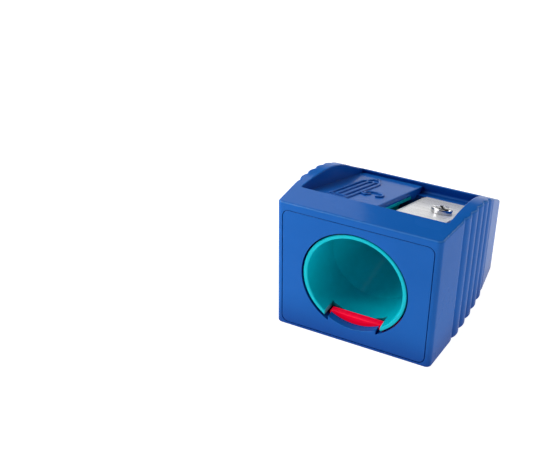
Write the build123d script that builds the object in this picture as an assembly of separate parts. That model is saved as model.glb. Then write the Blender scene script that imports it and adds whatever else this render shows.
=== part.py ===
from build123d import *
import os

# Hand sharpener for thick crayons and pencils, in millimetres.
# Origin: centre of the bottom face. +Z is up, the round mouth faces -Y,
# the low end faces +Y. "Depth" below is the distance inward from the mouth face.

# ---- outer body -------------------------------------------------------------
WIDTH = 29.0               # across the two flat ends
DEPTH = 35.9               # mouth face to low end face
HEIGHT = 24.9              # mouth end
LOW_HEIGHT = 15.1          # low end
SIDE_SPREAD = 0.086        # outward run of the flat parts of the sides, per mm of depth
SIDE_FLAT = 8.5            # length of the flat part of a side, from each end
CORNER_R = 1.0             # upright corners
EDGE_R = 0.4               # outer edge of the top
BASE_R = 0.3               # edge of the base
RIM_R = 0.2                # edges of the recess and of the raised panel
RIB_COUNT = 5              # full round ribs on each side
RIB_PITCH = 3.3
RIB_RISE = 0.45            # crest of a rib above the grooves beside it
GROOVE_R = 0.2             # bottom of a groove
GROOVE_X = (15.07, 15.23, 15.3)   # half width at the grooves, outermost first

STRIP_DEPTH = 6.76         # flat strip on top, behind the mouth face
STRIP_Z = 24.6
TOP_MID = (16.97, 23.45)   # depth and height where the two arcs of the top meet
TOP_LOW = (27.1, 19.8)     # end of the second arc

# ---- sloping deck and blade ---------------------------------------------------
SLOPE = 0.306              # fall of the blade plane per mm of depth
BLADE_DEPTH = 7.33         # depth of the blade's upper end
BLADE_Z = 22.0             # height of the blade's top face at that end
BLADE_LEN = 25.0
BLADE_WID = 9.8
BLADE_T = 0.45
BLADE_EDGE_X = 0.64        # cutting edge
BLADE_BEVEL = 0.9          # width of the ground edge
BLADE_KEEN = 0.03          # thickness left at the cutting edge
SCREW_X = 7.54
SCREW_RUN = 14.3           # along the blade, from its upper end
SCREW_HEAD_R = 1.97
SCREW_HEAD_H = 1.1
SCREW_R = 1.15
SCREW_LEN = 4.4            # below the head
PILOT_R = 1.0
SCREW_ROUND = 0.5          # edge of the head, and chamfer of the tip
SCREW_TURN = 25            # angle at which the cross came to rest
CROSS_L = 2.5
CROSS_W = 0.55
CROSS_D = 0.7

RECESS_X0 = -13.34
RECESS_X1 = 13.2
RECESS_END = 34.7          # depth of the recess wall at the low end
RECESS_R = 0.5             # upright corners of the recess
PANEL_X = -0.58            # edge of the raised panel, beside the chip slot
PANEL_RISE = 1.2           # panel face above the blade plane
FLOOR_DROP = 0.1           # floor around the blade, below the blade plane
COVE_R = 1.8               # round foot of the recess wall on the blade side
POCKET_GAP = 0.15
SLOT_START = 0.3           # chip slot, from the flat strip
SLOT_END = 31.3            # depth of the chip slot's lower end
SLOT_UNDER = 0.4           # how far it runs under the cutting edge
SLOT_OPEN = (12.5, 26.8)   # along the blade: here the slot is undercut, beside and beyond its end
SLOT_LEDGE = 0.7           # depth of the undercut's roof below the blade plane
DECK_T = 1.8               # deck under the blade
STEP_T = 1.2               # solid edge of the raised panel, beside the chip slot
STRIP_T = 1.35             # wall around the flat strip at the mouth end
BOSS_R = 2.3               # screw boss below the deck
BOSS_LEN = 5.4             # from the blade's top face down

# ---- inside of the shell ---------------------------------------------------------
FLOOR_T = 0.85
CAVITY_END = 34.4
CAVITY_X = (12.9, 13.9)    # half width of the cavity at its ends and in the middle
REBATE = 1.6               # depth of the seat of the mouth plate
SINK = 0.2                 # how far inner walls run into the floor
CRADLE_DEPTHS = (11.0, 22.0)
CRADLE_T = 1.2
CRADLE_TOP = 11.3
CRADLE_WIDE = 1.5          # saddle wall beside the guide
ARCH_TOP = 3.7             # opening of a cradle for the tongue
STOP_X = 5.0               # stop behind the guide's narrow end
STOP_TOP = 10.8

# ---- mouth plate --------------------------------------------------------------------
PLATE_X = 13.45
PLATE_Z0 = 0.66
PLATE_Z1 = 23.45
PLATE_R = 1.25
PLATE_EDGE = 0.12
PLATE_GAP = 0.1
HOLE_R = 9.75
KEY_X = 4.5                # half width of the key under the guide's gap
KEY_R = 9.05
CLIP_X = 12.75             # outer face of a clip
CLIP_LEN = 3.2
CLIP_T = 1.0
CLIP_H = 3.4
CLIP_NOSE = 0.3
NOSE_LEN = 1.0
CLIP_Z = (5.0, 19.0)
CLIP_ROOT = 0.1            # run of a nose into its clip
POCKET_AHEAD = 0.1         # room around a nose in its pocket
POCKET_BEHIND = 0.2
POCKET_SIDE = 0.15
NEAR = 0.01                # tolerance when edges are picked by position

# ---- guide: a round mouth that runs into a cone ----------------------------------
AXIS_Z = 12.3
MOUTH_R = 8.7              # inside, at the rim
BORE_R = 8.4               # inside, where the cone starts: the mouth tapers for moulding
RING_R = 9.5
RING_INSET = 0.15          # rim behind the mouth face
RIM_ROUND = 0.25
GUIDE_END = 27.9
CONE_WALL = 0.63
GAP_X = 5.2                # half width of the gap in the guide's rim
GAP_DEPTH = 3.55
GAP_TOP = 6.0
FIT = 0.05                 # clearance of parts that seat in each other

# ---- sprung tongue below the guide --------------------------------------------------
TONGUE_Z0 = 1.75
TONGUE_T = 0.8
TONGUE_X = 4.5
LIP_X = 4.9
LIP_Y0 = 1.9
LIP_Y1 = 3.25
LIP_Z = 4.5
LIP_R = 0.2
PIVOT_DEPTH = 25.5
PIVOT_Z = TONGUE_Z0 + TONGUE_T / 2
PIVOT_R = 0.9
PIVOT_GAP = 0.06
SOCKET_FRONT = 1.2         # socket block, either side of the pivot
SOCKET_BACK = 1.6
SOCKET_TOP = 1.5
THROAT = 0.6               # half height of the opening that the tongue leaves through


def y_at(depth):
    return depth - DEPTH / 2


def span(x0, x1, d0, d1, z0, z1):
    """Box between two x, two depths and two heights."""
    block = Box(x1 - x0, d1 - d0, z1 - z0, align=(Align.MIN, Align.MIN, Align.MIN))
    return Pos(x0, y_at(d0), z0) * block


BLADE_PLANE = Plane(
    origin=(0, y_at(BLADE_DEPTH), BLADE_Z), x_dir=(1, 0, 0), z_dir=(0, SLOPE, 1)
)


def sloped(x0, x1, v0, v1, w0, w1):
    """Box in the blade plane's own axes: across, down the slope, and outward."""
    block = Box(x1 - x0, v1 - v0, w1 - w0, align=(Align.MIN, Align.MIN, Align.MIN))
    return BLADE_PLANE * Pos(x0, v0, w0) * block


# the underside of the blade touches the cone along the cone's top line
CUT_Z0 = BLADE_Z - BLADE_T - AXIS_Z


def cone_r(depth):
    """Inner radius of the guide's cone."""
    return CUT_Z0 - SLOPE * (depth - BLADE_DEPTH)


# depths at which the round mouth ends and the cone starts, inside and outside
CONE_START = BLADE_DEPTH + (CUT_Z0 - BORE_R) / SLOPE
OUTER_START = BLADE_DEPTH + (CUT_Z0 + CONE_WALL - RING_R) / SLOPE


def revolve_about_axis(points):
    """Turn a closed outline of (depth, radius) points about the guide's axis."""
    at = [(0, y_at(d), AXIS_Z + r) for d, r in points]
    face = make_face(Polyline(*at, close=True))
    return revolve(face, axis=Axis((0, 0, AXIS_Z), (0, 1, 0)))


def side_of_plan():
    """Right side of the body seen from above: flat, ribs, flat."""
    flat_x = WIDTH / 2 + SIDE_SPREAD * SIDE_FLAT
    grooves = list(GROOVE_X) + list(reversed(GROOVE_X))
    first = DEPTH / 2 - RIB_PITCH * RIB_COUNT / 2
    spots = [(x, y_at(first + RIB_PITCH * i)) for i, x in enumerate(grooves)]
    start = (WIDTH / 2, y_at(0))
    flat_end = (flat_x, y_at(SIDE_FLAT))
    far_flat = (flat_x, y_at(DEPTH - SIDE_FLAT))
    far_end = (WIDTH / 2, y_at(DEPTH))
    lines = [Line(start, flat_end)]
    lines.append(TangentArc(flat_end, spots[0], tangent=(SIDE_SPREAD, 1)))
    for a, b in zip(spots, spots[1:]):
        crest = ((a[0] + b[0]) / 2 + RIB_RISE, (a[1] + b[1]) / 2)
        lines.append(ThreePointArc(a, crest, b))
    lines.append(TangentArc(far_flat, spots[-1], tangent=(SIDE_SPREAD, -1)))
    lines.append(Line(far_flat, far_end))
    return Curve() + lines


def outer_block():
    right = side_of_plan()
    left = mirror(right, about=Plane.YZ)
    front = Line((-WIDTH / 2, y_at(0)), (WIDTH / 2, y_at(0)))
    back = Line((-WIDTH / 2, y_at(DEPTH)), (WIDTH / 2, y_at(DEPTH)))
    plan = make_face(right + left + front + back)
    corners = [v for v in plan.vertices() if abs(abs(v.Y) - DEPTH / 2) < NEAR]
    plan = fillet(corners, CORNER_R)
    prism = extrude(plan, HEIGHT)
    upright = prism.edges().filter_by(Axis.Z)
    grooves = [e for e in upright if min(abs(abs(e.center().X) - g) for g in GROOVE_X) < NEAR]
    prism = fillet(grooves, GROOVE_R)

    top = Line((0, HEIGHT), (STRIP_DEPTH, STRIP_Z))
    arc_1 = TangentArc(top @ 1, TOP_MID, tangent=top % 1)
    arc_2 = TangentArc(TOP_MID, TOP_LOW, tangent=arc_1 % 1)
    arc_3 = TangentArc(TOP_LOW, (DEPTH, LOW_HEIGHT), tangent=arc_2 % 1)
    rest = Polyline((DEPTH, LOW_HEIGHT), (DEPTH, 0), (0, 0), (0, HEIGHT))
    profile = make_face(Curve() + [top, arc_1, arc_2, arc_3, rest])
    side_plane = Plane(origin=(0, y_at(0), 0), x_dir=(0, 1, 0), z_dir=(1, 0, 0))
    slab = extrude(side_plane * profile, WIDTH, both=True)
    block = prism & slab
    upper = block.faces().filter_by(lambda f: f.normal_at().Z > 0.3)
    outline = ShapeList(e for f in upper for e in f.edges())
    across = outline.filter_by(Axis.X)
    across = across.filter_by(lambda e: abs(abs(e.center().Y) - DEPTH / 2) > NEAR)
    block = fillet(ShapeList(e for e in outline if e not in across), EDGE_R)
    base = block.faces().sort_by(Axis.Z)[0]
    return fillet(base.edges(), BASE_R)


def recess():
    """Everything that is open above the deck."""
    reach = DEPTH * 1.3
    high = HEIGHT
    section = Plane(BLADE_PLANE.origin, x_dir=(1, 0, 0), z_dir=-BLADE_PLANE.y_dir)
    floor_w = -FLOOR_DROP
    cove = [
        Polyline(
            (RECESS_X1 - COVE_R, floor_w),
            (RECESS_X0, floor_w),
            (RECESS_X0, high),
            (RECESS_X1, high),
            (RECESS_X1, floor_w + COVE_R),
        ),
        RadiusArc(
            (RECESS_X1, floor_w + COVE_R), (RECESS_X1 - COVE_R, floor_w), COVE_R
        ),
    ]
    outline = make_face(Curve() + cove)
    body = extrude(section * outline, reach, both=True)
    body -= sloped(RECESS_X0 - 1, PANEL_X, -reach, reach, -5, PANEL_RISE)
    limits = span(RECESS_X0, RECESS_X1, STRIP_DEPTH, RECESS_END, 0, 2 * HEIGHT)
    return body & limits


def recessed_block():
    """Outer block with the recess cut in, and the edges around it rounded."""
    block = outer_block()
    skin = block.shells()[0]
    body = block - recess()

    def in_recess(point):
        beside = abs(point.X) < -RECESS_X0 + NEAR
        return beside and y_at(STRIP_DEPTH) - NEAR < point.Y < y_at(RECESS_END) + NEAR

    corners = [
        e for e in body.edges().filter_by(Axis.Z)
        if in_recess(e.center()) and abs(e.center().X) > RECESS_X1 - NEAR
    ]
    body = fillet(corners, RECESS_R)
    rim = [
        e for e in body.edges()
        if in_recess(e.center()) and skin.distance_to(Vertex(*e.center())) < NEAR / 10
    ]
    body = fillet(rim, RIM_R)
    beside_slot = [e for e in body.edges() if abs(e.center().X - PANEL_X) < NEAR]
    panel_edge = ShapeList(beside_slot).filter_by(lambda e: e.length > 10).sort_by(Axis.Z)[-1]
    return fillet(panel_edge, RIM_R)


def cavity_plan():
    """Inside of the side walls, seen from above."""
    ends, middle = CAVITY_X
    d0, d1, d2, d3 = REBATE, SIDE_FLAT + 1, DEPTH - SIDE_FLAT - 1, CAVITY_END
    right = [(ends, d0), (middle, d1), (middle, d2), (ends, d3)]
    loop = [(x, y_at(d)) for x, d in right]
    loop += [(-x, y_at(d)) for x, d in reversed(right)]
    return make_face(Polyline(*loop, close=True))


def cavity():
    far = DEPTH * 1.3
    inside = Pos(0, 0, FLOOR_T) * extrude(cavity_plan(), HEIGHT)
    step_x = PANEL_X - STEP_T
    under_strip = span(-WIDTH, WIDTH, 0, STRIP_DEPTH - STRIP_T, 0, STRIP_Z - STRIP_T)
    under_panel = sloped(-WIDTH, step_x, -far, far, -HEIGHT * 2, 0)
    under_blade = sloped(step_x, WIDTH, -far, far, -HEIGHT * 2, -DECK_T - FLOOR_DROP)
    return inside & (under_strip + under_panel + under_blade)


def guide_room():
    """Space that the guide takes, with its clearance."""
    return revolve_about_axis([
        (0, 0),
        (0, RING_R + FIT),
        (OUTER_START, RING_R + FIT),
        (GUIDE_END + FIT, cone_r(GUIDE_END) + CONE_WALL + FIT),
        (GUIDE_END + FIT, 0),
    ])


def cradle(depth):
    """Saddle that carries the guide, open below for the tongue."""
    reach = cone_r(depth) + CONE_WALL + CRADLE_WIDE
    saddle = span(-reach, reach, depth, depth + CRADLE_T, FLOOR_T - SINK, CRADLE_TOP)
    arch = span(-LIP_X, LIP_X, depth - CRADLE_T, depth + 2 * CRADLE_T, 0, ARCH_TOP)
    return saddle - arch


def tongue_socket():
    d0 = PIVOT_DEPTH - SOCKET_FRONT
    d1 = PIVOT_DEPTH + SOCKET_BACK
    block = span(-TONGUE_X, TONGUE_X, d0, d1, FLOOR_T - SINK, PIVOT_Z + SOCKET_TOP)
    bore = Cylinder(PIVOT_R + PIVOT_GAP, WIDTH, rotation=(0, 90, 0))
    throat = span(-WIDTH, WIDTH, d0 - 1, PIVOT_DEPTH, PIVOT_Z - THROAT, PIVOT_Z + THROAT)
    return block - Pos(0, y_at(PIVOT_DEPTH), PIVOT_Z) * bore - throat


def plate_outline(grow):
    wide = 2 * (PLATE_X + grow)
    high = PLATE_Z1 - PLATE_Z0 + 2 * grow
    return RectangleRounded(wide, high, PLATE_R + grow)


def plate_block(grow, thick):
    """Rounded plate, from the mouth face inward."""
    face_plane = Plane(
        origin=(0, y_at(0), (PLATE_Z0 + PLATE_Z1) / 2), x_dir=(1, 0, 0), z_dir=(0, -1, 0)
    )
    return extrude(face_plane * plate_outline(grow), -thick)


def clip_boxes(x0, x1, d0, d1, extra):
    """The same small box at each of the four clips."""
    boxes = []
    for z in CLIP_Z:
        for side in (-1, 1):
            lo = min(side * x0, side * x1)
            hi = max(side * x0, side * x1)
            half = CLIP_H / 2 + extra
            boxes.append(span(lo, hi, d0, d1, z - half, z + half))
    return boxes


NOSE_D1 = REBATE + CLIP_LEN
NOSE_D0 = NOSE_D1 - NOSE_LEN


def body_shell():
    body = recessed_block()
    body -= sloped(
        BLADE_EDGE_X, BLADE_EDGE_X + BLADE_WID + POCKET_GAP,
        -POCKET_GAP, BLADE_LEN + POCKET_GAP, -BLADE_T, BLADE_T,
    )
    body -= cavity()
    body -= plate_block(PLATE_GAP, REBATE)
    for depth in CRADLE_DEPTHS:
        body += cradle(depth)
    stop_at = GUIDE_END + FIT
    body += span(-STOP_X, STOP_X, stop_at, stop_at + CRADLE_T, FLOOR_T - SINK, STOP_TOP)
    foot = (Align.CENTER, Align.CENTER, Align.MIN)
    screw_foot = BLADE_PLANE * Pos(SCREW_X, SCREW_RUN, -BOSS_LEN)
    body += screw_foot * Cylinder(BOSS_R, BOSS_LEN - DECK_T / 2 - BLADE_T, align=foot)
    body -= guide_room()
    slot_x1 = BLADE_EDGE_X + SLOT_UNDER
    body -= span(PANEL_X, slot_x1, STRIP_DEPTH + SLOT_START, SLOT_END, AXIS_Z - SLOT_UNDER, HEIGHT)
    open_x0 = PANEL_X - STEP_T - SINK
    body -= sloped(open_x0, slot_x1, *SLOT_OPEN, -DECK_T - 1, -SLOT_LEDGE)
    body += tongue_socket()
    body -= screw_foot * Pos(0, 0, SLOT_UNDER) * Cylinder(PILOT_R, BOSS_LEN, align=foot)
    pocket_d0 = NOSE_D0 - POCKET_AHEAD
    pocket_d1 = NOSE_D1 + POCKET_BEHIND
    for pocket in clip_boxes(CLIP_X, CLIP_X + 2 * CLIP_NOSE, pocket_d0, pocket_d1, POCKET_SIDE):
        body -= pocket
    return body


def mouth_plate():
    plate = plate_block(0, REBATE)
    front = plate.faces().sort_by(Axis.Y)[0]
    plate = fillet(front.edges(), PLATE_EDGE)
    hole = Cylinder(HOLE_R, 4 * REBATE, rotation=(90, 0, 0))
    key_hole = Cylinder(KEY_R, 6 * REBATE, rotation=(90, 0, 0))
    key_zone = span(-KEY_X, KEY_X, -5, 5, 0, AXIS_Z)
    hole = Pos(0, y_at(0), AXIS_Z) * hole - (key_zone - Pos(0, y_at(0), AXIS_Z) * key_hole)
    plate -= hole
    front = plate.faces().sort_by(Axis.Y)[0]
    mouth = [
        e for e in front.edges()
        if abs(e.center().X) < HOLE_R and abs(e.center().Z - AXIS_Z) < HOLE_R
    ]
    plate = fillet(mouth, PLATE_EDGE)
    for arm in clip_boxes(CLIP_X - CLIP_T, CLIP_X, REBATE, REBATE + CLIP_LEN, 0):
        plate += arm
    for nose in clip_boxes(CLIP_X - CLIP_ROOT, CLIP_X + CLIP_NOSE, NOSE_D0, NOSE_D1, 0):
        plate += nose
    return plate


def guide():
    outline = [
        (RING_INSET, RING_R),
        (OUTER_START, RING_R),
        (GUIDE_END, cone_r(GUIDE_END) + CONE_WALL),
        (GUIDE_END, cone_r(GUIDE_END)),
        (CONE_START, BORE_R),
        (RING_INSET, MOUTH_R),
    ]
    wall = revolve_about_axis(outline)
    rim = wall.faces().sort_by(Axis.Y)[0]
    wall = fillet(rim.edges(), RIM_ROUND)
    wall -= span(-GAP_X, GAP_X, -1, GAP_DEPTH, 0, GAP_TOP)
    far = DEPTH * 1.3
    # room for the blade, then the chip slot beside its cutting edge
    wall -= sloped(BLADE_EDGE_X, WIDTH, -POCKET_GAP, far, -BLADE_T - FIT, WIDTH)
    wall -= span(PANEL_X, BLADE_EDGE_X, STRIP_DEPTH + SLOT_START, DEPTH, AXIS_Z, 2 * HEIGHT)
    return wall


def blade():
    plate = sloped(
        BLADE_EDGE_X, BLADE_EDGE_X + BLADE_WID, 0, BLADE_LEN, -BLADE_T, 0
    )
    section = Plane(BLADE_PLANE.origin, x_dir=(1, 0, 0), z_dir=-BLADE_PLANE.y_dir)
    edge_w = BLADE_KEEN - BLADE_T
    ground = make_face(Polyline(
        (BLADE_EDGE_X - BLADE_T, edge_w),
        (BLADE_EDGE_X, edge_w),
        (BLADE_EDGE_X + BLADE_BEVEL, 0),
        (BLADE_EDGE_X + BLADE_BEVEL, BLADE_T),
        (BLADE_EDGE_X - BLADE_T, BLADE_T),
        close=True,
    ))
    plate -= extrude(section * ground, 2 * BLADE_LEN, both=True)
    hole = Cylinder(SCREW_R + POCKET_GAP, 4 * BLADE_T)
    plate -= BLADE_PLANE * Pos(SCREW_X, SCREW_RUN, 0) * hole
    return plate


def blade_screw():
    head = Cylinder(SCREW_HEAD_R, SCREW_HEAD_H, align=(Align.CENTER, Align.CENTER, Align.MIN))
    head = fillet(head.edges().sort_by(Axis.Z)[-1:], SCREW_ROUND)
    slot = Box(CROSS_L, CROSS_W, 2 * CROSS_D)
    cross = slot + Rot(0, 0, 90) * slot
    head -= Pos(0, 0, SCREW_HEAD_H) * cross
    shank = Cylinder(SCREW_R, SCREW_LEN, align=(Align.CENTER, Align.CENTER, Align.MAX))
    shank = chamfer(shank.edges().sort_by(Axis.Z)[:1], SCREW_ROUND)
    screw = Rot(0, 0, SCREW_TURN) * head + shank
    return BLADE_PLANE * Pos(SCREW_X, SCREW_RUN, 0) * screw


def pressure_tongue():
    strip = span(-TONGUE_X, TONGUE_X, LIP_Y0, PIVOT_DEPTH, TONGUE_Z0, TONGUE_Z0 + TONGUE_T)
    lip = span(-LIP_X, LIP_X, LIP_Y0, LIP_Y1, TONGUE_Z0, LIP_Z)
    lip = fillet(lip.faces().sort_by(Axis.Z)[-1].edges(), LIP_R)
    bead = Pos(0, y_at(PIVOT_DEPTH), PIVOT_Z) * Cylinder(PIVOT_R, 2 * TONGUE_X, rotation=(0, 90, 0))
    return strip + lip + bead


PARTS = {
    "body_shell": body_shell,
    "mouth_plate": mouth_plate,
    "guide_insert": guide,
    "blade": blade,
    "blade_screw": blade_screw,
    "pressure_tongue": pressure_tongue,
}

os.makedirs("parts", exist_ok=True)
for name, make in PARTS.items():
    export_step(make(), f"parts/{name}.step")
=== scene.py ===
from math import cos, pi, radians, sin

import bmesh
import bpy
from mathutils import Matrix, Vector


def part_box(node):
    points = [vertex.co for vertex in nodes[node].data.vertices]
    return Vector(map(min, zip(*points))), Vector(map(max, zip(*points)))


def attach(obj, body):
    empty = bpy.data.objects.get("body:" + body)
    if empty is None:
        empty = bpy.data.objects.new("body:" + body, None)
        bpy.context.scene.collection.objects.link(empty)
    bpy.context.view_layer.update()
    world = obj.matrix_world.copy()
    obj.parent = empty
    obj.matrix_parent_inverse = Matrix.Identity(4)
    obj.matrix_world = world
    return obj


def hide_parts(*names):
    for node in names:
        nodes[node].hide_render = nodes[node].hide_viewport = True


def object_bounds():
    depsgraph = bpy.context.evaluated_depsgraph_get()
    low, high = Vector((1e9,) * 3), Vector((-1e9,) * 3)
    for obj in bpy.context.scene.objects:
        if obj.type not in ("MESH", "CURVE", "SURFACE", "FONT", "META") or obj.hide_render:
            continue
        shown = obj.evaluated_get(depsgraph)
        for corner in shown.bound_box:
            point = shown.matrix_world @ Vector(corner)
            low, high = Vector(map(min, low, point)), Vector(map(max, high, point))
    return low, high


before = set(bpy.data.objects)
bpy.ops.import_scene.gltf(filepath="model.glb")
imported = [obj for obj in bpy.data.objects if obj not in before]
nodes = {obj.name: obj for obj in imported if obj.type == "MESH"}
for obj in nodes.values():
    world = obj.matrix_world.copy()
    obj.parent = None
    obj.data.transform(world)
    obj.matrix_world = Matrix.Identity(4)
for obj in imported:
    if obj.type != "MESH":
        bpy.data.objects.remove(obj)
cad_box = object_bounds()
scene = bpy.context.scene

MM = 0.001

# ---- camera and stage ------------------------------------------------------------------
CAMERA_AT = Vector((48.72, -137.11, 98.86)) * MM
CAMERA_HEADING = radians(28.1)     # from +Y towards -X
CAMERA_DOWN = radians(30.28)
CAMERA_LENS = 60.06                # on the usual 36 mm sensor

FLOOR_HALF = 3.0                   # metres from the middle to each edge
FLOOR_GLOW = 0.92                  # the floor lights itself, as in a white light tent
# backdrop: height on the unit sphere, and colour
HORIZON = 0.04, (0.95, 0.95, 0.96, 1)
OVERHEAD = 0.16, (0.01, 0.01, 0.012, 1)
# name, degrees clockwise from the camera's heading, degrees up, distance, size, watts
SOFTBOXES = (
    ("left_back", 315, 50, 0.30, 0.22, 0.17),
    ("back", 350, 32, 0.40, 0.21, 0.30),
    ("left", 262, 35, 0.13, 0.08, 0.085),
    ("right", 66, 26, 0.35, 0.10, 0.31),
    ("front_right", 130, 18, 0.40, 0.25, 0.05),
    ("front_low", 200, 15, 0.45, 0.25, 0.03),
    ("top", 0, 88, 0.35, 0.30, 0.15),
    ("left_low", 285, 12, 0.35, 0.20, 0.04),
    ("key", 247, 47, 0.30, 0.06, 0.08),
)

# ---- deck, in the part's own slope -----------------------------------------------------
SLOPE = 0.306                      # fall per depth of the blade and of the panel beside it
BLADE_T = 0.45 * MM
BLADE_BEVEL = 0.9 * MM             # ground facet along the cutting edge
BLADE_KEEN = 0.03 * MM
BLADE_ARRIS = 0.07 * MM            # broken edges of the strip
BLADE_HOLE_R = 1.3 * MM
PANEL_RISE = 1.2 * MM              # panel face above the blade face

# ---- screw -----------------------------------------------------------------------------
HEAD_R = 1.97 * MM
HEAD_H = 1.1 * MM
HEAD_ROUND = 0.4 * MM
CROWN = 0.08 * MM                  # rise of the middle of the head
HEAD_TURNED = 0.03 * MM            # the foot of the side is this much inside the widest part
FOOT_UP = 0.06 * MM                # broken edge at that foot: its height, and its run inward
FOOT_IN = 0.1 * MM
CROSS_L = 2.6 * MM
CROSS_W = 0.62 * MM
CROSS_D = 0.7 * MM
CROSS_TURN = radians(25)
CROSS_FOOT = 0.72                  # share of an arm's size at its bottom
CROSS_TOP = 1.1                    # and above the head, where the cutter ends
SHANK_R = 1.15 * MM
SHANK_LEN = 4.4 * MM
THREAD_PITCH = 0.5 * MM
THREAD_DEPTH = 0.16 * MM
TIP_LEN = 0.6 * MM                 # plain end of the shank
TIP = ((0.8, 0.15 * MM), (0.45, 0.5 * MM))   # share of the shank's radius, run below the thread

# ---- raised marks on the panel ---------------------------------------------------------
MARK_H = 0.28 * MM
MARK_W = 0.46 * MM
MARK_DRAFT = 0.08 * MM             # each side leans in by this much
MARK_SINK = 0.04 * MM              # foot inside the panel
# places on the panel in millimetres: across, then down the slope
PENCIL = (-8.3, 1.0, 24.2, 1.75)   # middle line, blunt end, point, half width
TURN_ARROW = (-4.2, 10.6, 1.7)     # centre and radius

# ---- surfaces --------------------------------------------------------------------------
NOISE_MIDDLE = (0.3, 0.7)          # where nearly all values of a noise lie
HIGHLIGHT_SLANT = (0.60, 0.98)          # slant at which the painted edge highlight begins, and is full
PAINTED_SHADE_REACH = 8 * MM                   # how far away a wall still casts painted shade into a recess
OPENNESS = (0.25, 0.93)            # where the painted shade colour is full, and where it ends
COAT_WEIGHT = 0.18                 # thin gloss of the moulded plastic
COAT_ROUGHNESS = 0.10

NEAR = 1e-6                        # tolerance when edges are picked by position
MIX_A, MIX_B, MIX_OUT = 6, 7, 2    # colour sockets of the Mix node


def make_camera():
    data = bpy.data.cameras.new("camera")
    data.lens = CAMERA_LENS
    data.clip_start = 1 * MM
    camera = bpy.data.objects.new("camera", data)
    level = cos(CAMERA_DOWN)
    aim = Vector((
        -sin(CAMERA_HEADING) * level, cos(CAMERA_HEADING) * level, -sin(CAMERA_DOWN)
    ))
    camera.location = CAMERA_AT
    camera.rotation_mode = "QUATERNION"
    camera.rotation_quaternion = aim.to_track_quat("-Z", "Y")
    scene.collection.objects.link(camera)
    scene.camera = camera


def make_floor():
    mesh = bpy.data.meshes.new("floor")
    half = FLOOR_HALF
    corners = [(-half, -half), (half, -half), (half, half), (-half, half)]
    mesh.from_pydata([(x, y, cad_box[0].z) for x, y in corners], [], [(0, 1, 2, 3)])
    floor = bpy.data.objects.new("floor", mesh)
    scene.collection.objects.link(floor)
    material, shader = new_material("studio_floor")
    shader.inputs["Base Color"].default_value = (0.42, 0.42, 0.43, 1)
    shader.inputs["Roughness"].default_value = 0.85
    shader.inputs["Specular IOR Level"].default_value = 0.2
    shader.inputs["Emission Color"].default_value = (1, 1, 1, 1)
    shader.inputs["Emission Strength"].default_value = FLOOR_GLOW
    mesh.materials.append(material)


def area_light(name, around, up, away, size, power):
    """Square soft light. around is clockwise from the camera's own heading, seen from above."""
    data = bpy.data.lights.new(name, "AREA")
    data.size = size
    data.energy = power
    light = bpy.data.objects.new(name, data)
    turn = around - CAMERA_HEADING
    level = Vector((sin(turn), cos(turn), 0)) * cos(up)
    centre = Vector((0, 0, cad_box[1].z / 2))
    light.location = centre + (level + Vector((0, 0, sin(up)))) * away
    light.rotation_mode = "QUATERNION"
    light.rotation_quaternion = (centre - light.location).to_track_quat("-Z", "Y")
    scene.collection.objects.link(light)


def make_lights():
    for name, around, up, away, size, power in SOFTBOXES:
        area_light(name, radians(around), radians(up), away, size, power)


def make_backdrop():
    """Pale at the horizon and dark overhead, like a studio sweep."""
    world = bpy.data.worlds.new("studio")
    scene.world = world
    world.use_nodes = True
    tree = world.node_tree
    place = tree.nodes.new("ShaderNodeTexCoord")
    split = tree.nodes.new("ShaderNodeSeparateXYZ")
    ramp = tree.nodes.new("ShaderNodeValToRGB")
    low, high = ramp.color_ramp.elements
    low.position, low.color = HORIZON
    high.position, high.color = OVERHEAD
    tree.links.new(place.outputs["Generated"], split.inputs["Vector"])
    tree.links.new(split.outputs["Z"], ramp.inputs["Fac"])
    tree.links.new(ramp.outputs["Color"], tree.nodes["Background"].inputs["Color"])


# ---- materials -------------------------------------------------------------------------

def new_material(name):
    material = bpy.data.materials.new(name)
    material.use_nodes = True
    return material, material.node_tree.nodes["Principled BSDF"]


def add(material, kind, **values):
    """New node. Each value sets the input of that name, or else the node's own property."""
    node = material.node_tree.nodes.new(kind)
    for key, value in values.items():
        if key in node.inputs:
            node.inputs[key].default_value = value
        else:
            setattr(node, key, value)
    return node


def noise(material, scale, detail, stretch=(1, 1, 1)):
    """Noise fixed to the object, in cycles per metre."""
    place = add(material, "ShaderNodeTexCoord")
    stretched = add(material, "ShaderNodeMapping", Scale=stretch)
    grain = add(material, "ShaderNodeTexNoise", Scale=scale, Detail=detail)
    link = material.node_tree.links.new
    link(place.outputs["Object"], stretched.inputs["Vector"])
    link(stretched.outputs["Vector"], grain.inputs["Vector"])
    return grain


def remap(material, source, before, after):
    """The source's range before, as the range after, with nothing beyond its ends."""
    span = add(material, "ShaderNodeMapRange")
    span.inputs["From Min"].default_value, span.inputs["From Max"].default_value = before
    span.inputs["To Min"].default_value, span.inputs["To Max"].default_value = after
    material.node_tree.links.new(source, span.inputs["Value"])
    return span.outputs["Result"]


def spread(material, source, low, high):
    """The noise's middle range as low to high."""
    return remap(material, source, NOISE_MIDDLE, (low, high))


def tint(material, source, colour_a, colour_b):
    """The noise's middle range as one colour to the other."""
    ramp = add(material, "ShaderNodeValToRGB")
    stops = zip(ramp.color_ramp.elements, NOISE_MIDDLE, (colour_a, colour_b))
    for stop, position, colour in stops:
        stop.position, stop.color = position, (*colour, 1)
    material.node_tree.links.new(source, ramp.inputs["Fac"])
    return ramp.outputs["Color"]


def bump(material, source, height, strength, under=None):
    """Relief of the given height, laid over the relief under it if there is one."""
    node = add(material, "ShaderNodeBump", Strength=strength, Distance=height)
    link = material.node_tree.links.new
    link(source, node.inputs["Height"])
    if under is not None:
        link(under, node.inputs["Normal"])
    return node.outputs["Normal"]


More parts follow.
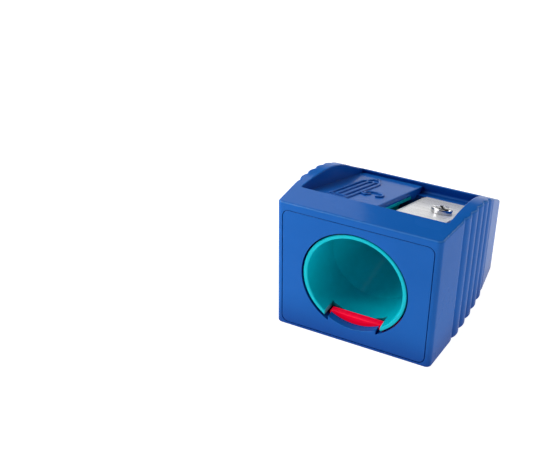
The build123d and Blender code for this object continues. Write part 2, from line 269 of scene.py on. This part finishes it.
def calc(material, operation, a, b=None):
    """Math node on a and b, each a number or another node's output."""
    node = add(material, "ShaderNodeMath", operation=operation)
    for socket, value in zip(node.inputs, (a, b)):
        if isinstance(value, (int, float)):
            socket.default_value = value
        elif value is not None:
            material.node_tree.links.new(value, socket)
    return node.outputs["Value"]


def painted_edge_highlight(material, colour, painted_highlight_colour):
    """Painted highlight: lighter colour where an outer edge is rounded over and would catch the
    light.

    There the surface faces half up and half outward: to its own side, or to the front.
    """
    link = material.node_tree.links.new
    place = add(material, "ShaderNodeTexCoord")
    facing = add(material, "ShaderNodeSeparateXYZ")
    spot = add(material, "ShaderNodeSeparateXYZ")
    link(place.outputs["Normal"], facing.inputs["Vector"])
    link(place.outputs["Object"], spot.inputs["Vector"])
    side = calc(material, "SIGN", spot.outputs["X"])
    beside = calc(material, "MAXIMUM", calc(material, "MULTIPLY", facing.outputs["X"], side), 0)
    front = calc(material, "MAXIMUM", calc(material, "MULTIPLY", facing.outputs["Y"], -1), 0)
    squares = [calc(material, "POWER", value, 2) for value in (beside, front)]
    outward = calc(material, "SQRT", calc(material, "ADD", *squares))
    both = calc(material, "MULTIPLY", outward, facing.outputs["Z"])
    slant = calc(material, "MULTIPLY", both, 2)      # 1 where it faces half up, half outward
    mix = add(material, "ShaderNodeMix", data_type="RGBA")
    link(remap(material, slant, HIGHLIGHT_SLANT, (0, 1)), mix.inputs["Factor"])
    link(colour, mix.inputs[MIX_A])
    mix.inputs[MIX_B].default_value = (*painted_highlight_colour, 1)
    return mix.outputs[MIX_OUT]


def painted_shade_tint(material, colour, painted_shade_colour):
    """Painted shade: deeper colour in recesses and inside the part, where the walls around block
    the light.
    """
    link = material.node_tree.links.new
    shelter = add(material, "ShaderNodeAmbientOcclusion", samples=8, Distance=PAINTED_SHADE_REACH)
    mix = add(material, "ShaderNodeMix", data_type="RGBA")
    link(remap(material, shelter.outputs["AO"], OPENNESS, (0, 1)), mix.inputs["Factor"])
    mix.inputs[MIX_A].default_value = (*painted_shade_colour, 1)
    link(colour, mix.inputs[MIX_B])
    return mix.outputs[MIX_OUT]


def moulded_plastic(name, colour_a, colour_b, painted_highlight_colour, painted_shade_colour, rough, index):
    """Satin moulded plastic: cloudy pigment, a fine spark-eroded grain, and slight sink waves.

    The edge colour is painted on rounded outer edges as a highlight, and the shade colour is
    painted in recesses as shade. rough is a low and a high roughness, and index the refractive
    index below the thin gloss coat.
    """
    material, shader = new_material(name)
    link = material.node_tree.links.new
    cloud = noise(material, 90, 4.0)
    grain = noise(material, 5200, 2.0)
    waves = noise(material, 260, 1.0)
    colour = tint(material, cloud.outputs["Fac"], colour_a, colour_b)
    # painted highlight on rounded outer edges
    if painted_highlight_colour:
        colour = painted_edge_highlight(material, colour, painted_highlight_colour)
    # painted shade in recesses and inside the part
    link(painted_shade_tint(material, colour, painted_shade_colour), shader.inputs["Base Color"])
    link(spread(material, cloud.outputs["Fac"], *rough), shader.inputs["Roughness"])
    wavy = bump(material, waves.outputs["Fac"], 0.012 * MM, 0.6)
    link(bump(material, grain.outputs["Fac"], 0.006 * MM, 0.5, wavy), shader.inputs["Normal"])
    shader.inputs["IOR"].default_value = index
    shader.inputs["Coat Weight"].default_value = COAT_WEIGHT
    shader.inputs["Coat Roughness"].default_value = COAT_ROUGHNESS
    return material


def ground_steel(name, colour_a, colour_b, rough, stretch, scale, metal):
    """Steel with fine grinding lines across the axis that has the largest stretch.

    scale is in lines per metre before the stretch, and metal how much of the surface mirrors.
    """
    material, shader = new_material(name)
    link = material.node_tree.links.new
    cloud = noise(material, 180, 3.0)
    lines = noise(material, scale, 2.0, stretch)
    link(tint(material, cloud.outputs["Fac"], colour_a, colour_b), shader.inputs["Base Color"])
    link(spread(material, lines.outputs["Fac"], *rough), shader.inputs["Roughness"])
    link(bump(material, lines.outputs["Fac"], 0.002 * MM, 0.12), shader.inputs["Normal"])
    shader.inputs["Metallic"].default_value = metal
    return material


# Each plastic: two cloud colours, a painted edge highlight colour, a painted shade colour for
# recesses, roughness and index.
SHELL = moulded_plastic(
    "shell_plastic", (0.008, 0.122, 0.48), (0.011, 0.134, 0.52), (0.045, 0.20, 0.60),
    (0.0, 0.026, 0.23), (0.22, 0.30), 1.04,
)
GUIDE = moulded_plastic(
    "guide_plastic", (0.0, 0.55, 0.66), (0.0, 0.60, 0.71), None,
    (0.0, 0.12, 0.17), (0.26, 0.34), 1.12,
)
TONGUE = moulded_plastic(
    "tongue_plastic", (0.92, 0.0, 0.030), (0.97, 0.0, 0.036), (1.0, 0.02, 0.07),
    (0.5, 0.0, 0.01), (0.24, 0.34), 1.2,
)
# Painted glow: the red material gives off light of its own, so it looks brighter than the light
# that falls on it.
tongue_glow_shader = TONGUE.node_tree.nodes["Principled BSDF"]
tongue_glow_shader.inputs["Emission Color"].default_value = (1.0, 0.0, 0.03, 1)
tongue_glow_shader.inputs["Emission Strength"].default_value = 0.45
# The face is ground fine: pale from every side, with little mirroring.
BLADE_FACE = ground_steel(
    "blade_steel", (0.90, 0.895, 0.885), (0.96, 0.955, 0.945), (0.26, 0.32),
    (0.15, 12, 1), 900, 0.18,
)
BLADE_GROUND = ground_steel(
    "blade_ground", (0.36, 0.345, 0.325), (0.44, 0.425, 0.40), (0.30, 0.45),
    (1, 14, 1), 1500, 0.8,
)
SCREW = ground_steel(
    "screw_steel", (0.60, 0.60, 0.61), (0.68, 0.68, 0.69), (0.14, 0.24),
    (1, 1, 1), 1800, 1.0,
)


def clothe(piece, *materials):
    """Gives the piece these materials and no others."""
    piece.data.materials.clear()
    for material in materials:
        piece.data.materials.append(material)


# ---- mesh helpers ----------------------------------------------------------------------

def new_piece(name, mesh, body="sharpener"):
    piece = bpy.data.objects.new(name, mesh)
    scene.collection.objects.link(piece)
    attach(piece, body)
    return piece


def shade_smooth(mesh, angle):
    """Smooth shading, but sharp edges where faces meet at more than the angle, in degrees."""
    mesh.polygons.foreach_set("use_smooth", [True] * len(mesh.polygons))
    mesh.set_sharp_from_angle(angle=radians(angle))


def slope_matrix():
    """Axes of the blade's top face: X across, Y down the slope, Z outward, from its upper end."""
    lo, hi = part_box("blade")
    down = Vector((0, 1, -SLOPE)).normalized()
    out = Vector((0, SLOPE, 1)).normalized()
    origin = Vector((0, lo.y + BLADE_T * out.y, hi.z))
    axes = Matrix((Vector((1, 0, 0)), down, out)).transposed()
    return Matrix.Translation(origin) @ axes.to_4x4()


ON_BLADE = slope_matrix()


def finished(mesh, name, place=None):
    """Bmesh to a named mesh, its faces turned outward, moved by the matrix if there is one."""
    bmesh.ops.recalc_face_normals(mesh, faces=mesh.faces)
    if place is not None:
        mesh.transform(place)
    data = bpy.data.meshes.new(name)
    mesh.to_mesh(data)
    mesh.free()
    return data


def lathe(mesh, profile, segments=64):
    """Turn (radius, height) points about Z. A point with no radius closes the end."""
    rings = []
    for radius, height in profile:
        if radius == 0:
            rings.append([mesh.verts.new((0, 0, height))])
            continue
        turns = [2 * pi * i / segments for i in range(segments)]
        rings.append([mesh.verts.new((radius * cos(t), radius * sin(t), height)) for t in turns])
    for lower, upper in zip(rings, rings[1:]):
        for i in range(segments):
            j = (i + 1) % segments
            corners = [
                lower[i % len(lower)], lower[j % len(lower)],
                upper[j % len(upper)], upper[i % len(upper)],
            ]
            mesh.faces.new(list(dict.fromkeys(corners)))


def prism(mesh, low, high, z0, z1):
    """Four-sided block from an outline (x0, y0, x1, y1) at z0 to another at z1."""
    rows = []
    for (x0, y0, x1, y1), z in ((low, z0), (high, z1)):
        corners = ((x0, y0), (x1, y0), (x1, y1), (x0, y1))
        rows.append([mesh.verts.new((*corner, z)) for corner in corners])
    feet, head = rows
    mesh.faces.new(feet[::-1])
    mesh.faces.new(head)
    for i in range(4):
        j = (i + 1) % 4
        mesh.faces.new([feet[i], feet[j], head[j], head[i]])


def cut_away(data, cutters, name):
    """The mesh with the cutter meshes taken out of it."""
    base = bpy.data.objects.new("cut_base", data)
    helpers = [base]
    scene.collection.objects.link(base)
    for cutter in cutters:
        tool = bpy.data.objects.new("cut_tool", cutter)
        scene.collection.objects.link(tool)
        helpers.append(tool)
        step = base.modifiers.new("cut", "BOOLEAN")
        step.operation = "DIFFERENCE"
        step.solver = "EXACT"
        step.object = tool
    bpy.context.view_layer.update()
    graph = bpy.context.evaluated_depsgraph_get()
    result = bpy.data.meshes.new_from_object(base.evaluated_get(graph))
    result.name = name
    for helper in helpers:
        bpy.data.objects.remove(helper)
    return result


# ---- blade -----------------------------------------------------------------------------

def blade_size():
    """Cutting edge x, far edge x, and length down the slope."""
    lo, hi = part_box("blade")
    grade = Vector((1, SLOPE)).normalized()
    return lo.x, hi.x, ((hi.y - lo.y) - BLADE_T * grade.y) / grade.x


def screw_spot():
    """Where the screw's axis meets the blade face, in the blade's own axes."""
    lo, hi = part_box("blade_screw")
    middle = ON_BLADE.inverted() @ ((lo + hi) / 2)
    return middle.x, middle.y


def make_blade():
    edge, far, length = blade_size()
    keen = BLADE_KEEN - BLADE_T
    mesh = bmesh.new()
    # section across the strip, from the cutting edge round to its underside
    section = [
        (edge, -BLADE_T), (edge, keen), (edge + BLADE_BEVEL, 0), (far, 0), (far, -BLADE_T),
    ]
    ends = [[mesh.verts.new((x, v, w)) for x, w in section] for v in (0, length)]
    mesh.faces.new(ends[0])
    mesh.faces.new(ends[1][::-1])
    for i in range(len(section)):
        j = (i + 1) % len(section)
        mesh.faces.new([ends[0][i], ends[1][i], ends[1][j], ends[0][j]])
    # every edge but the keen one and the line where the ground facet meets the face
    plain = []
    for e in mesh.edges:
        first, second = (v.co for v in e.verts)
        beyond_facet = min(first.x, second.x) > edge + BLADE_BEVEL - NEAR
        across_end = abs(first.y - second.y) < NEAR and max(first.z, second.z) > keen
        if beyond_facet or across_end:
            plain.append(e)
    bmesh.ops.bevel(mesh, geom=plain, offset=BLADE_ARRIS, segments=2, profile=0.6, affect="EDGES")
    hole = bmesh.new()
    below, above = -2 * BLADE_T, BLADE_T
    lathe(hole, [(0, below), (BLADE_HOLE_R, below), (BLADE_HOLE_R, above), (0, above)])
    bmesh.ops.translate(hole, verts=hole.verts, vec=(*screw_spot(), 0))
    data = cut_away(finished(mesh, "strip"), [finished(hole, "hole")], "blade_strip")
    for face in data.polygons:
        # the facet leans towards the cutting edge
        ground = -0.9 < face.normal.x < -0.2 and 0.5 < face.normal.z < 0.98
        face.material_index = 1 if ground and face.center.x < edge + BLADE_BEVEL else 0
    data.transform(ON_BLADE)
    shade_smooth(data, 20)
    blade = new_piece("blade_strip", data)
    clothe(blade, BLADE_FACE, BLADE_GROUND)
    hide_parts("blade")


# ---- screw -----------------------------------------------------------------------------

def arc(x, y, radius, start, end, steps):
    """Points on a circle from one angle to another, in degrees."""
    turns = [radians(start + (end - start) * i / steps) for i in range(steps + 1)]
    return [(x + radius * cos(t), y + radius * sin(t)) for t in turns]


def screw_head():
    """Cheese head: turned side, rounded rim, slightly crowned top, drafted cross recess."""
    side = HEAD_R - HEAD_TURNED
    round_at = HEAD_R - HEAD_ROUND, HEAD_H - CROWN - HEAD_ROUND
    mesh = bmesh.new()
    lathe(mesh, [
        (0, 0), (SHANK_R * 0.9, 0), (side - FOOT_IN, 0), (side, FOOT_UP),
        *arc(*round_at, HEAD_ROUND, 0, 78, 10),
        (HEAD_R * 0.4, HEAD_H - CROWN * 0.25), (0, HEAD_H),
    ], 96)
    cutters = []
    for turn in (0, pi / 2):
        arm = bmesh.new()
        foot, top = [
            (-CROSS_L / 2 * size, -CROSS_W / 2 * size, CROSS_L / 2 * size, CROSS_W / 2 * size)
            for size in (CROSS_FOOT, CROSS_TOP)
        ]
        prism(arm, foot, top, HEAD_H - CROSS_D, HEAD_H + CROSS_D / 2)
        arm.transform(Matrix.Rotation(CROSS_TURN + turn, 4, "Z"))
        cutters.append(finished(arm, "arm"))
    well = bmesh.new()
    lathe(well, [
        (0, HEAD_H - CROSS_D * 1.1), (CROSS_W * 0.45, HEAD_H - CROSS_D),
        (CROSS_W * 0.95, HEAD_H * 1.5), (0, HEAD_H * 1.5),
    ], 32)
    cutters.append(finished(well, "well"))
    return cut_away(finished(mesh, "head"), cutters, "blade_screw_head")


def screw_shank():
    """Thread as a rising ridge, ending in a blunt tip."""
    mesh = bmesh.new()
    segments, rings_per_turn = 40, 4
    angles = [2 * pi * i / segments for i in range(segments)]
    thread_turns = int((SHANK_LEN - TIP_LEN) / THREAD_PITCH)
    rings = []
    for k in range(thread_turns * rings_per_turn + 1):
        down = k * THREAD_PITCH / rings_per_turn
        ring = []
        for i, t in enumerate(angles):
            phase = (k / rings_per_turn - i / segments) % 1
            radius = SHANK_R - THREAD_DEPTH * abs(2 * phase - 1)
            ring.append(mesh.verts.new((radius * cos(t), radius * sin(t), -down)))
        rings.append(ring)
    end = rings[-1][0].co.z
    for share, down in TIP:
        radius = SHANK_R * share
        rings.append([
            mesh.verts.new((radius * cos(t), radius * sin(t), end - down)) for t in angles
        ])
    for upper, lower in zip(rings, rings[1:]):
        for i in range(segments):
            j = (i + 1) % segments
            mesh.faces.new([upper[i], lower[i], lower[j], upper[j]])
    mesh.faces.new(rings[0])
    mesh.faces.new(rings[-1][::-1])
    return finished(mesh, "blade_screw_shank")


def screw_piece(name, data, angle):
    data.transform(ON_BLADE @ Matrix.Translation((*screw_spot(), 0)))
    shade_smooth(data, angle)
    piece = new_piece(name, data)
    clothe(piece, SCREW)
    return piece


def make_screw():
    head = screw_piece("blade_screw_head", screw_head(), 35)
    screw_piece("blade_screw_shank", screw_shank(), 60)
    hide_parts("blade_screw")


# ---- raised marks ----------------------------------------------------------------------

def stroke(mesh, path, closed=False):
    """Raised line along (x, v) points in millimetres: flat top, leaning sides, mitred turns."""
    points = [Vector(point) * MM for point in path]
    count = len(points)
    half = MARK_W / 2
    right_side = [
        (half - 2 * MARK_DRAFT, MARK_H), (half - MARK_DRAFT, MARK_H * 0.9),
        (half, MARK_H * 0.45), (half, -MARK_SINK),
    ]
    section = [(-across, up) for across, up in reversed(right_side)] + right_side
    rows = []
    for i, here in enumerate(points):
        into = here - points[i - 1] if closed or i else points[1] - here
        onward = points[(i + 1) % count] - here if closed or i < count - 1 else into
        into, onward = into.normalized(), onward.normalized()
        along = (into + onward).normalized()
        side = Vector((-along.y, along.x))
        mitre = 1 / max(side.dot(Vector((-into.y, into.x))), 0.5)
        rows.append([
            mesh.verts.new((*(here + side * across * mitre), up)) for across, up in section
        ])
    pairs = list(zip(rows, rows[1:]))
    if closed:
        pairs.append((rows[-1], rows[0]))
    for a, b in pairs:
        for k in range(len(a)):
            j = (k + 1) % len(a)
            mesh.faces.new([a[k], b[k], b[j], a[j]])
    if not closed:
        mesh.faces.new(rows[0][::-1])
        mesh.faces.new(rows[-1])


def pencil_mark(mesh, x, v0, v1, half):
    """Outline of a pencil along the panel: point, wood, three sides, band and end cap."""
    wood = v1 - 4.4
    band = v0 + 3.0
    cap = v0 + 1.6
    corner = 0.8
    stroke(mesh, [
        (x - half, cap), (x - half, wood), (x, v1), (x + half, wood), (x + half, cap),
        (x + half, v0 + corner), (x + half - corner, v0),
        (x - half + corner, v0), (x - half, v0 + corner),
    ], closed=True)
    for side in (-1, 1):
        at = x + side * half * 0.36
        stroke(mesh, [(at, band), (at, wood + 0.2)])
    for at in (cap, band):
        stroke(mesh, [(x - half, at), (x + half, at)])
    # scalloped line where the paint ends, one scallop for each side of the pencil
    stroke(mesh, [
        (x + half * f, wood + 0.75 * abs(sin(1.5 * pi * (f + 1))))
        for f in (-1, -0.67, -0.33, 0, 0.33, 0.67, 1)
    ])
    stroke(mesh, [(x - half * 0.34, v1 - 1.5), (x + half * 0.34, v1 - 1.5)])


def turn_mark(mesh, x, v, radius):
    """Three-quarter ring that ends in an arrow: the way the pencil is turned."""
    ring = arc(x, v, radius, -60, 215, 18)
    stroke(mesh, ring)
    tip = Vector(ring[-1])
    ahead = (tip - Vector(ring[-3])).normalized()
    side = Vector((-ahead.y, ahead.x))
    behind = tip - ahead * 0.6
    stroke(mesh, [tuple(behind + side), tuple(tip + ahead * 0.7), tuple(behind - side)])


def make_marks():
    mesh = bmesh.new()
    pencil_mark(mesh, *PENCIL)
    turn_mark(mesh, *TURN_ARROW)
    data = finished(mesh, "panel_marks", ON_BLADE @ Matrix.Translation((0, 0, PANEL_RISE)))
    shade_smooth(data, 40)
    marks = new_piece("panel_marks", data)
    clothe(marks, SHELL)


# ---- finish ----------------------------------------------------------------------------
make_camera()
make_floor()
make_backdrop()
make_lights()
for name, material in (
    ("body_shell", SHELL), ("mouth_plate", SHELL), ("guide_insert", GUIDE),
    ("pressure_tongue", TONGUE),
):
    clothe(nodes[name], material)
make_blade()
make_screw()
make_marks()
scene.view_settings.view_transform = "Standard"
